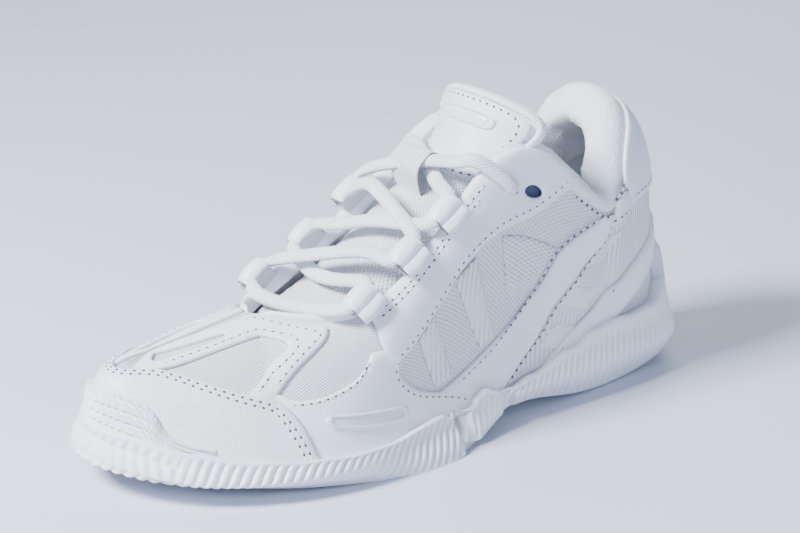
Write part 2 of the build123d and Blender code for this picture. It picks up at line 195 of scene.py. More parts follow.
def node(tree, kind, **values):
    n = tree.nodes.new(kind)
    for key, value in values.items():
        if hasattr(n, key):
            setattr(n, key, value)
        else:
            n.inputs[key.replace("_", " ")].default_value = value
    return n


def bump(tree, shader, height, strength, distance):
    b = node(tree, "ShaderNodeBump", Strength=strength, Distance=distance)
    tree.links.new(height, b.inputs["Height"])
    tree.links.new(b.outputs["Normal"], shader.inputs["Normal"])


def tint(tree, shader, factor, low, high):
    ramp = tree.nodes.new("ShaderNodeValToRGB")
    ramp.color_ramp.elements[0].color = (*low, 1)
    ramp.color_ramp.elements[1].color = (*high, 1)
    tree.links.new(factor, ramp.inputs["Fac"])
    tree.links.new(ramp.outputs["Color"], shader.inputs["Base Color"])


def leather(name, color, scale, depth=0.35, rough=0.42):
    """Coated leather: pebbled cells, faint clouding, soft sheen."""
    m, tree, s = new_material(name, color, rough)
    where = tree.nodes.new("ShaderNodeTexCoord")
    cells = node(tree, "ShaderNodeTexVoronoi", feature="SMOOTH_F1", Scale=scale)
    cloud = node(tree, "ShaderNodeTexNoise", Scale=scale * 0.09, Detail=4.0)
    fine = node(tree, "ShaderNodeTexNoise", Scale=scale * 1.7, Detail=3.0)
    for n in (cells, cloud, fine):
        link(tree, where, "Object", n, "Vector")
    mix = node(tree, "ShaderNodeMath", operation="ADD")
    link(tree, cells, "Distance", mix, 0)
    link(tree, fine, "Fac", mix, 1)
    bump(tree, s, mix.outputs[0], depth, 0.0003)
    dark = tuple(c * 0.94 for c in color)
    tint(tree, s, cloud.outputs["Fac"], dark, color)
    s.inputs["Coat Weight"].default_value = 0.12
    s.inputs["Coat Roughness"].default_value = 0.35
    return m


def woven(name, color, across, along, depth=0.8, shade=0.80, sheen=0.25):
    """Knitted or woven cloth: yarn rows from UV coordinates in millimetres."""
    m, tree, s = new_material(name, color, 0.8)
    uv = tree.nodes.new("ShaderNodeUVMap")
    split = tree.nodes.new("ShaderNodeSeparateXYZ")
    link(tree, uv, "UV", split, "Vector")
    waves = []
    for axis, pitch in (("X", across), ("Y", along)):
        scale = node(tree, "ShaderNodeMath", operation="MULTIPLY")
        link(tree, split, axis, scale, 0)
        scale.inputs[1].default_value = 2 * math.pi / pitch
        wave = node(tree, "ShaderNodeMath", operation="SINE")
        link(tree, scale, 0, wave, 0)
        waves.append(wave)
    both = node(tree, "ShaderNodeMath", operation="MULTIPLY")
    link(tree, waves[0], 0, both, 0)
    link(tree, waves[1], 0, both, 1)
    half = node(tree, "ShaderNodeMath", operation="MULTIPLY_ADD")
    link(tree, both, 0, half, 0)
    half.inputs[1].default_value = 0.5
    half.inputs[2].default_value = 0.5
    bump(tree, s, half.outputs[0], depth, 0.0004)
    # The yarn valleys are darker: painted shade that follows the weave bump.
    tint(tree, s, half.outputs[0], tuple(c * shade for c in color), color)
    s.inputs["Sheen Weight"].default_value = sheen
    s.inputs["Sheen Roughness"].default_value = 0.5
    return m


def fleece(name, color):
    """Brushed lining cloth: fine nap with soft clouding, in object space."""
    m, tree, s = new_material(name, color, 0.9)
    where = tree.nodes.new("ShaderNodeTexCoord")
    nap = node(tree, "ShaderNodeTexNoise", Scale=1500.0, Detail=6.0)
    knit = node(tree, "ShaderNodeTexVoronoi", Scale=1100.0)
    for n in (nap, knit):
        link(tree, where, "Object", n, "Vector")
    mix = node(tree, "ShaderNodeMath", operation="ADD")
    link(tree, nap, "Fac", mix, 0)
    link(tree, knit, "Distance", mix, 1)
    bump(tree, s, mix.outputs[0], 0.6, 0.0004)
    tint(tree, s, nap.outputs["Fac"], tuple(c * 0.88 for c in color), color)
    s.inputs["Sheen Weight"].default_value = 0.5
    s.inputs["Sheen Roughness"].default_value = 0.4
    return m


def rubber(name, color, rough=0.5):
    """Moulded rubber with a faint satin grain."""
    m, tree, s = new_material(name, color, rough)
    where = tree.nodes.new("ShaderNodeTexCoord")
    grain = node(tree, "ShaderNodeTexNoise", Scale=900.0, Detail=3.0)
    cloud = node(tree, "ShaderNodeTexNoise", Scale=30.0, Detail=3.0)
    for n in (grain, cloud):
        link(tree, where, "Object", n, "Vector")
    bump(tree, s, grain.outputs["Fac"], 0.12, 0.0002)
    tint(tree, s, cloud.outputs["Fac"], tuple(c * 0.95 for c in color), color)
    s.inputs["Subsurface Weight"].default_value = 0.08
    s.inputs["Subsurface Radius"].default_value = (0.002, 0.002, 0.002)
    return m


WHITE = (0.84, 0.87, 0.94)
LEATHER = leather("leather_smooth", WHITE, 1400, 0.18, 0.40)
GRAINED = leather("leather_grained", (0.78, 0.81, 0.88), 900, 0.42, 0.45)
MESH = woven("mesh_knit", (0.86, 0.88, 0.95), 1.8, 1.4, 1.0, 0.62)
RIBBED = woven("mesh_ribbed", (0.86, 0.88, 0.95), 1.4, 60, 1.0, 0.66)
DOTTED = woven("mesh_dotted", (0.93, 0.94, 0.98), 1.1, 1.1, 0.7, 0.85, 0.4)
LINING = woven("lining_cloth", (0.77, 0.80, 0.88), 0.7, 0.7, 0.5, 0.88, 0.4)
FLEECE = fleece("collar_fleece", (0.86, 0.88, 0.94))
WEBBING = woven("webbing", (0.78, 0.81, 0.88), 60, 1.3, 0.9, 0.75)
LACE = woven("lace_braid", (0.84, 0.87, 0.93), 1.6, 1.2, 0.8, 0.84, 0.3)
RUBBER = rubber("rubber_white", (0.79, 0.82, 0.89))
FOAM = rubber("foam_white", (0.82, 0.84, 0.88), 0.7)
THREAD = woven("thread", (0.84, 0.87, 0.93), 0.5, 0.5, 0.6, 0.8)
BADGE = rubber("badge_plastic", (0.74, 0.77, 0.86), 0.22)
# Dark blue-black: painted shade, used in the needle holes between stitches and inside the eyelets.
SHADE = woven("painted_hole_shade", (0.05, 0.07, 0.16), 0.7, 0.7, 0.4, 0.7)
BOARD = woven("insole_board", (0.62, 0.55, 0.44), 0.9, 0.9, 0.5, 0.85)


# ---- mesh helpers -------------------------------------------------------------------------------
def build(name, points, faces, material, uv=None, smooth=True):
    """Object from points in the shoe's millimetres."""
    mesh = bpy.data.meshes.new(name)
    mesh.from_pydata(((np.asarray(points) + ORIGIN) * MM).tolist(), [], faces)
    mesh.materials.append(material)
    if uv is not None:
        layer_uv = mesh.uv_layers.new(name="UVMap")
        index = np.empty(len(mesh.loops), dtype=int)
        mesh.loops.foreach_get("vertex_index", index)
        layer_uv.data.foreach_set("uv", np.asarray(uv, float)[index].ravel())
    mesh.polygons.foreach_set("use_smooth", [smooth] * len(mesh.polygons))
    mesh.validate()
    obj = bpy.data.objects.new(name, mesh)
    bpy.context.scene.collection.objects.link(obj)
    return obj


def grid_faces(nu, nv, start=0, wrap_u=False, wrap_v=False, flip=False):
    """Quads of a grid with nu by nv points."""
    faces = []
    for i in range(nu if wrap_u else nu - 1):
        for j in range(nv if wrap_v else nv - 1):
            i2, j2 = (i + 1) % nu, (j + 1) % nv
            quad = (start + i * nv + j, start + i2 * nv + j, start + i2 * nv + j2, start + i * nv + j2)
            faces.append(quad[::-1] if flip else quad)
    return faces


def tube_mesh(name, rings, material, uv_scale, closed=False):
    """Skin over rings of points (count, around, 3); the two ends are capped unless it is closed."""
    count, around = rings.shape[:2]
    points = rings.reshape(-1, 3)
    faces = grid_faces(count, around, wrap_u=closed, wrap_v=True)
    if not closed:
        faces.append(tuple(range(around)))
        faces.append(tuple((count - 1) * around + k for k in reversed(range(around))))
    along = np.concatenate([[0], np.cumsum(np.linalg.norm(np.diff(rings.mean(1), axis=0), axis=1))])
    ring = np.linspace(0, uv_scale, around)
    uv = np.stack(np.meshgrid(along, ring, indexing="ij"), -1).reshape(-1, 2)
    return build(name, points, faces, material, uv)


def finish_piece(obj, body, slot, *nodes):
    """Rides on a body, or has its placement baked in for the flex line, and stands for CAD nodes."""
    if body == "flex":
        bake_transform(obj)
    else:
        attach(obj, body)
    if nodes:
        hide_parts(*nodes)
    return obj


def dense(segments, step=0.9, scale=(20.0, 75.0)):
    """Closed outline from smooth segments that meet at corners, sampled about every step mm."""
    points = []
    for seg in segments:
        f = spline(seg) if len(seg) > 2 else spline([seg[0], np.mean(seg, axis=0), seg[1]])
        t = np.linspace(0, max(len(seg) - 1, 2), 400)
        p = f(t)
        length = np.concatenate([[0], np.cumsum(np.linalg.norm(np.diff(p, axis=0) * scale, axis=1))])
        n = max(int(length[-1] / step), 2)
        at = np.interp(np.linspace(0, length[-1], n + 1)[:-1], length, np.arange(400))
        points += [p[int(round(k))] for k in at]
    return np.array(points)


def inside(p, poly):
    """Whether each point lies in the closed polygon."""
    x, y = p[:, 0:1], p[:, 1:2]
    x0, y0 = poly[:, 0], poly[:, 1]
    x1, y1 = np.roll(x0, -1), np.roll(y0, -1)
    cross = (y0 > y) != (y1 > y)
    at = (x1 - x0) * (y - y0) / np.where(y1 == y0, 1e-9, y1 - y0) + x0
    return (np.sum(cross & (x < at), axis=1) % 2) == 1


def inset(poly, distance):
    """Closed polygon moved inwards (or outwards if negative), for a counter-clockwise one."""
    d = np.roll(poly, -1, 0) - np.roll(poly, 1, 0)
    n = unit(np.stack([-d[:, 1], d[:, 0]], -1))
    return poly + n * distance


def ccw(poly):
    x, y = poly.T
    area = np.sum(x * np.roll(y, -1) - np.roll(x, -1) * y)
    return poly if area > 0 else poly[::-1]


def cut_panel(name, material, segments, holes, t0, t1, place=layer, scale=(20.0, 75.0), grid=2.2, puff=0.0):
    """Leather or cloth piece cut to an outline with holes, laid on a surface with rolled edges."""
    scale = np.array(scale)
    loops = [ccw(dense(segments, scale=scale) * scale)] + [ccw(dense(h,
            scale=scale) * scale)[::-1] for h in holes]
    points, edges, level = [], [], []
    for poly in loops:
        for distance, drop in ((0.0, 0.45), (0.55, 0.0)):
            ring = inset(poly, distance)
            start = len(points)
            points += list(ring)
            level += [drop] * len(ring)
            edges += [(start + k, start + (k + 1) % len(ring)) for k in range(len(ring))]
    outer = loops[0]
    low, high = outer.min(0), outer.max(0)
    gx, gy = np.meshgrid(np.arange(low[0], high[0], grid), np.arange(low[1], high[1], grid), indexing="ij")
    gy = gy + (np.arange(gx.shape[0]) % 2)[:, None] * grid / 2
    free = np.stack([gx.ravel(), gy.ravel()], -1)
    keep = inside(free, inset(outer, 1.3))
    for hole in loops[1:]:
        keep &= ~inside(free, inset(hole, 1.3))
    free = free[keep]
    if puff:
        distances = np.min(np.linalg.norm(free[:, None] - outer[None], axis=2), axis=1)
    points += list(free)
    level += list(-puff * np.clip(distances / 6, 0, 1) if puff else [0.0] * len(free))
    verts, _, tris, orig, _, _ = geometry.delaunay_2d_cdt([Vector(p) for p in points], edges, [], 0, 1e-6)
    drop = np.zeros(len(verts))
    for k, sources in enumerate(orig):
        drop[k] = level[sources[0]] if sources else 0.0
    flat = np.array([tuple(v) for v in verts])
    tris = np.array([t for t in tris if len(t) == 3])
    centre = flat[tris].mean(1)
    keep = inside(centre, outer)
    for hole in loops[1:]:
        keep &= ~inside(centre, hole)
    tris = tris[keep]
    used = np.unique(tris)
    back = np.full(len(flat), -1)
    back[used] = np.arange(len(used))
    flat, drop, tris = flat[used], drop[used], back[tris]
    at = flat / scale
    top = place(at[:, 0], at[:, 1], t1 - drop)
    base = place(at[:, 0], at[:, 1], t0)
    n = len(flat)
    faces = [tuple(t) for t in tris] + [tuple(t[::-1] + n) for t in tris]
    sides = {}
    for t in tris:
        for k in range(3):
            sides[(t[k], t[(k + 1) % 3])] = True
    faces += [(j, i, i + n, j + n) for i, j in sides if (j, i) not in sides]
    obj = build(name, np.concatenate([top, base]), faces, material, np.concatenate([flat, flat]))
    tidy(obj)
    return obj


def tidy(obj):
    """Normals outwards."""
    import bmesh
    b = bmesh.new()
    b.from_mesh(obj.data)
    bmesh.ops.remove_doubles(b, verts=b.verts, dist=1e-7)
    bmesh.ops.recalc_face_normals(b, faces=b.faces)
    b.to_mesh(obj.data)
    b.free()


CAPSULE = [(-1.0, 0.0), (-0.93, 0.55), (-0.6, 0.95), (0.0, 1.0), (0.6, 0.95), (0.93, 0.55), (1.0, 0.0)]


def stitches(name, curves, place=layer, long=2.1, gap=1.2, thick=0.42, material=None):
    """Thread stitches along curves drawn on a surface, each curve (points, t); the short dark pieces
    between them are painted shade in the needle holes.
    """
    around = 6
    ring_count = len(CAPSULE) - 2
    points, faces, holes = [], [], []
    for seg, t in curves:
        f = spline(seg) if len(seg) > 2 else spline([seg[0], np.mean(seg, axis=0), seg[1]])
        s = f(np.linspace(0, max(len(seg) - 1, 2), 500))
        p = place(s[:, 0], s[:, 1], t)
        up = unit(place(s[:, 0], s[:, 1], t + 1.0) - p)
        length = np.concatenate([[0], np.cumsum(np.linalg.norm(np.diff(p, axis=0), axis=1))])
        count = int((length[-1] + gap) / (long + gap))
        for k in range(2 * count):
            shaded_pit = k % 2
            middle = (k + 1) * 0.5 * length[-1] / count
            reach = gap * 0.55 if shaded_pit else long / 2
            ends = [np.array([np.interp(middle + e, length, p[:, c]) for c in range(3)]) for e in (-reach,
                    reach)]
            n = np.array([np.interp(middle, length, up[:, c]) for c in range(3)])
            along = (ends[1] - ends[0]) / 2
            side = unit(np.cross(along, n)) * thick * (1.15 if shaded_pit else 1)
            n = unit(np.cross(side, along)) * thick * (0.45 if shaded_pit else 0.8)
            holes += [shaded_pit] * ((ring_count - 1) * around + 2)
            centre = (ends[0] + ends[1]) / 2
            start = len(points)
            for x, r in CAPSULE[1:-1]:
                for q in range(around):
                    angle = 2 * math.pi * q / around
                    points.append(centre + along * x + (side * math.cos(angle) + n * math.sin(angle)) * r
                                  - n * 0.5 * abs(x))
            faces += grid_faces(ring_count, around, start, wrap_v=True)
            faces.append(tuple(start + q for q in reversed(range(around))))
            faces.append(tuple(start + (ring_count - 1) * around + q for q in range(around)))
    obj = build(name, points, faces, material or THREAD)
    # The pieces between stitches take the dark material: painted shade in the needle holes.
    obj.data.materials.append(SHADE)
    if len(obj.data.polygons) == len(holes):
        obj.data.polygons.foreach_set("material_index", holes)
    return obj


def mirror(segments):
    return [[(N - a, b) for a, b in seg] for seg in segments]


# ---- camera, floor, light -----------------------------------------------------------------------
def build_stage():
    azimuth, elevation, roll = math.radians(-38.3), math.radians(20.0), math.radians(0.8)
    target = Vector((-0.5, 0.8, 60.0)) * MM
    back = Vector((math.sin(azimuth) * math.cos(elevation), -math.cos(azimuth) * math.cos(elevation),
                   math.sin(elevation)))
    right = Vector((0, 0, 1)).cross(back).normalized()
    up = back.cross(right)
    side = right * math.cos(roll) + up * math.sin(roll)
    top = up * math.cos(roll) - right * math.sin(roll)
    camera = bpy.data.cameras.new("camera")
    camera.lens = 100
    camera.sensor_width = 36
    obj = bpy.data.objects.new("camera", camera)
    obj.matrix_world = Matrix.Translation(target + back * 0.848) @ Matrix((side, top,
            back)).transposed().to_4x4()
    bpy.context.scene.collection.objects.link(obj)
    bpy.context.scene.camera = obj
    mesh = bpy.data.meshes.new("floor")
    s = 4.0
    mesh.from_pydata([(-s, -s, 0), (s, -s, 0), (s, s, 0), (-s, s, 0)], [], [(0, 1, 2, 3)])
    m, tree, shader = new_material("floor_paper", (0.62, 0.66, 0.76), 0.7)
    grain = node(tree, "ShaderNodeTexNoise", Scale=300.0, Detail=2.0)
    bump(tree, shader, grain.outputs["Fac"], 0.03, 0.0002)
    mesh.materials.append(m)
    floor = bpy.data.objects.new("floor", mesh)
    bpy.context.scene.collection.objects.link(floor)
    world = bpy.data.worlds.new("world")
    world.use_nodes = True
    world.node_tree.nodes["Background"].inputs["Color"].default_value = (0.62, 0.70, 0.90, 1)
    world.node_tree.nodes["Background"].inputs["Strength"].default_value = 0.42
    bpy.context.scene.world = world
    lights = [("key", (-0.80, 0.10, 0.80), 0.30, 38.0, (1.0, 1.0, 1.0)),
              ("fill", (-0.1, -1.2, 0.45), 0.8, 8.0, (0.74, 0.82, 1.0)),
              ("rim", (0.7, 0.6, 0.7), 0.7, 7.0, (0.9, 0.94, 1.0))]
    for name, place, size, power, color in lights:
        data = bpy.data.lights.new(name, "AREA")
        data.size = size
        data.energy = power
        data.color = color
        light = bpy.data.objects.new(name, data)
        light.location = place
        light.rotation_euler = (Vector((0, 0, 0.05)) - Vector(place)).to_track_quat("-Z", "Y").to_euler()
        bpy.context.scene.collection.objects.link(light)


# ---- sole ---------------------------------------------------------------------------------------
def build_sole():
    """Cup sole: ribbed rubber wall from its inner lip, over the top edge and down to the ground."""
    count, rows = 1800, 30
    a = np.arange(count) * N / count
    foot = foot_line(a)
    ground = ground_line(a)
    ground[:, 2] = np.maximum(ground[:, 2], 0.0)
    out = unit(normal(a, 0.02) * (1, 1, 0))
    top = wall_top(a)
    thick = 5.6
    side = np.minimum(a, N - a)
    notch = (4.0 * np.exp(-((side - 4.76) / 0.10)**4) + 2.2 * np.exp(-((side - 4.04) / 0.10)**4))[:, None]
    length = np.concatenate([[0], np.cumsum(np.linalg.norm(np.diff(foot, axis=0), axis=1))])
    rail = np.stack([layer(a, top, thick) - out * notch * 0.8, layer(a, top * 0.5, thick) - out * notch,
                     foot + out * (thick - notch), (foot + out * thick + ground) / 2 + out * (0.8 - notch),
                     ground - out * notch * 0.7], 1)
    v = np.linspace(0, 1, rows)
    wall = np.stack([control_row(rail, k) for k in v], 1)
    # slanted ribs: pitch grows towards the toe, steeper behind the arch
    sign = np.where(a < 10, 1.0, -1.0)
    run = (sign * length)[:, None]
    fore = np.clip((side - 4.7) / 0.15, 0, 1)[:, None]
    heel_ribs = np.abs(np.cos(math.pi * (run - 5 * v[None]) / 3.3))**0.7
    chevrons = np.abs(np.cos(math.pi * (run - 12 * v[None]**1.5) / 3.7))**0.7
    rows_at = v[None] * 4.2 - 0.2 * np.sin(side)[:, None]
    lean = np.where(np.floor(rows_at) % 2 > 0, 1.0, -1.0)
    bars = 0.5 + 0.5 * np.cos(2 * math.pi * (run / 4.4 + 0.55 * lean * rows_at))
    gutter = np.clip(np.abs(rows_at % 1.0 - 0.5) * 2, 0, 1)
    toe_bars = (0.35 + 0.65 * bars**0.6) * (1 - np.clip((gutter - 0.72) / 0.28, 0, 1))
    toe = np.clip((side - 7.9) / 0.7, 0, 1)[:, None]
    rib = heel_ribs * (1 - fore) + chevrons * fore
    rib = rib * (1 - toe) + toe_bars * toe
    fade = np.clip((v - 0.08) / 0.08, 0, 1) * np.clip((0.97 - v) / 0.06, 0, 1)
    depth = (2.0 - 0.4 * fore) * fade[None]
    push = unit(np.gradient(wall, axis=0))
    normal_out = unit(np.cross(push, np.gradient(wall, axis=1)))
    normal_out *= np.sign(np.sum(normal_out * out[:, None], -1, keepdims=True))
    wall = wall - normal_out * ((1 - rib) * depth)[..., None]
    lip = [layer(a, top - 0.03, -0.4), layer(a, top, -0.2), layer(a, top, 1.6) + UP * 0.4,
           layer(a, top, 3.0) + UP * 0.7 - out * notch * 0.4,
           layer(a, top, 4.4) + UP * 0.8 - out * notch * 0.7,
           layer(a, top, 5.2) + UP * 0.5 - out * notch * 0.8]
    under = [ground - out * 1.2 + UP * 0.1, ground - out * 3.5, foot + out * 2.6]
    rings = np.concatenate([np.stack(lip, 1), wall, np.stack(under, 1)], 1)
    rings[..., 2] = np.maximum(rings[..., 2], 0.0)
    n = rings.shape[1]
    faces = grid_faces(count, n, wrap_u=True, wrap_v=True)
    uv = np.zeros((count * n, 2))
    obj = build("cup_sole", rings.reshape(-1, 3), faces, RUBBER, uv)
    tidy(obj)
    finish_piece(obj, "flex", "rubber", "sidewall_forefoot", "sidewall_rearfoot")


def ease(p0, p1, p2, p3, f):
    """Point at f between p1 and p2, on the smooth curve through all four."""
    cubic = 3 * (p1 - p2) + p3 - p0
    return p1 + 0.5 * f * (p2 - p0 + f * (2 * p0 - 5 * p1 + 4 * p2 - p3 + f * cubic))


def control_row(rail, v):
    """Point at v along the smooth rail through five points."""
    i = min(int(v * 4), 3)
    return ease(*(rail[:, min(max(i + d, 0), 4)] for d in (-1, 0, 1, 2)), v * 4 - i)


def build_bumper():
    """Toe bumper: rubber patch with fanned grooves and slanted bars between them."""
    count, rows = 240, 90
    edge = spline([(7.75, 0.185), (8.38, 0.26), (8.65, 0.38), (8.9, 0.49), (9.45, 0.58), (9.83, 0.60),
            (10.3, 0.58),
                   (10.9, 0.52), (11.4, 0.42), (11.9, 0.26), (12.3, 0.185)])
    s = edge(np.linspace(0, 10, count))
    a = s[:, 0]
    low = wall_top(a) - 0.05
    v = np.linspace(0, 1, rows)
    b = low[:, None] + (s[:, 1:2] - low[:, None]) * v
    aa = np.repeat(a[:, None], rows, 1)
    fan = np.linspace(0, 1, count)[:, None]
    groove_at = 4.3 * (1 - v)[None] + 1.5 * fan
    gutter = np.abs(groove_at % 1.0 - 0.5) * 2
    bars = 0.5 + 0.5 * np.cos(2 * math.pi * (fan * 24 + groove_at * 1.4))
    height = 1.7 * (1 - np.clip((gutter - 0.6) / 0.4, 0, 1)) * (0.45 + 0.55 * bars**0.6)
    rim_fade = np.minimum(np.clip((1 - v) / 0.06, 0, 1)[None],
            np.clip(np.minimum(fan, 1 - fan) / 0.03, 0, 1))
    t = 2.9 + (height + 0.5) * np.sqrt(rim_fade)
    top = layer(aa, b, t)
    base = layer(aa, b, 2.75)
    n = count * rows
    points = np.concatenate([top.reshape(-1, 3), base.reshape(-1, 3)])
    faces = grid_faces(count, rows) + grid_faces(count, rows, n, flip=True)
    border = [i * rows for i in range(count)] + [(count - 1) * rows + j for j in range(1, rows)]
    border += [i * rows + rows - 1 for i in range(count - 2, -1, -1)] + [j for j in range(rows - 2, 0, -1)]
    faces += [(q, p, p + n, q + n) for p, q in zip(border, border[1:] + border[:1])]
    obj = build("bumper", points, faces, RUBBER)
    tidy(obj)
    finish_piece(obj, "forefoot", "rubber", "toe_bumper")


# ---- upper --------------------------------------------------------------------------------------
def shell_piece(name, material, a0, a1, b0, b1, t0, t1, nu, nv, body, slot, nodes):
    """Closed layer of the upper between two ribs."""
    wrap = a1 - a0 >= N
    a = a0 + (a1 - a0) * (np.arange(nu) / (nu if wrap else nu - 1))
    b = np.linspace(b0, b1, nv)
    aa, bb = np.meshgrid(a, b, indexing="ij")
    outer = layer(aa, bb, t1)
    inner = layer(aa, bb[:, ::-1], t0)
    rings = np.concatenate([outer, inner], 1)
    foot = foot_line(a)
    along = np.concatenate([[0], np.cumsum(np.linalg.norm(np.diff(foot, axis=0), axis=1))])
    rise = np.linalg.norm(np.diff(outer, axis=1), axis=2).mean(0)
    up = np.concatenate([[0], np.cumsum(rise)])
    uv_one = np.stack(np.meshgrid(along, up, indexing="ij"), -1)
    uv = np.concatenate([uv_one, uv_one[:, ::-1]], 1).reshape(-1, 2)
    faces = grid_faces(nu, 2 * nv, wrap_u=wrap, wrap_v=True)
    if not wrap:
        faces += [tuple(range(2 * nv)), tuple((nu - 1) * 2 * nv + k for k in range(2 * nv))]
    obj = build(name, rings.reshape(-1, 3), faces, material, uv)
    tidy(obj)
    return finish_piece(obj, body, slot, *nodes)


def build_base():
    shell_piece("upper_mesh", MESH, 0, 20, 0.0, 1.0, -1.0, 0.1, 400, 60, "flex", "mesh",
                ["vamp_mesh", "flex_gusset_lateral", "flex_gusset_medial", "quarter_mesh_lateral",
                 "quarter_mesh_medial"])
    shell_piece("inner_lining", LINING, 0, 20, 0.04, 0.96, -3.8, -3.0, 300, 40, "flex", "textile",
                ["vamp_lining", "quarter_lining_lateral", "quarter_lining_medial"])


LOW, HIGH = 0.2, 1.5         # first leather layer, from and to
LOW2, HIGH2 = 1.4, 2.8       # second leather layer


def pair(name, material, segments, holes, t0, t1, body, slot, node_name, rows=(), puff=0.0):
    """The same piece on the lateral and medial side, with its stitch rows."""
    for side, turn in (("lateral", lambda s: s), ("medial", mirror)):
        obj = cut_panel(f"{name}_{side}", material, turn(segments), [turn(h) for h in holes], t0, t1,
                puff=puff)
        finish_piece(obj, body, slot, f"{node_name}_{side}")
        if rows:
            sewn = stitches(f"{name}_{side}_stitches", [(r, t1 - 0.02) for r in turn(rows)], thick=0.36)
            finish_piece(sewn, body, slot)


def disc(a, wide, high):
    """Round outline about an eyelet."""
    return [[(a + wide * math.cos(q), 0.82 + high * math.sin(q)) for q in np.linspace(0, 2 * math.pi, 13)]]


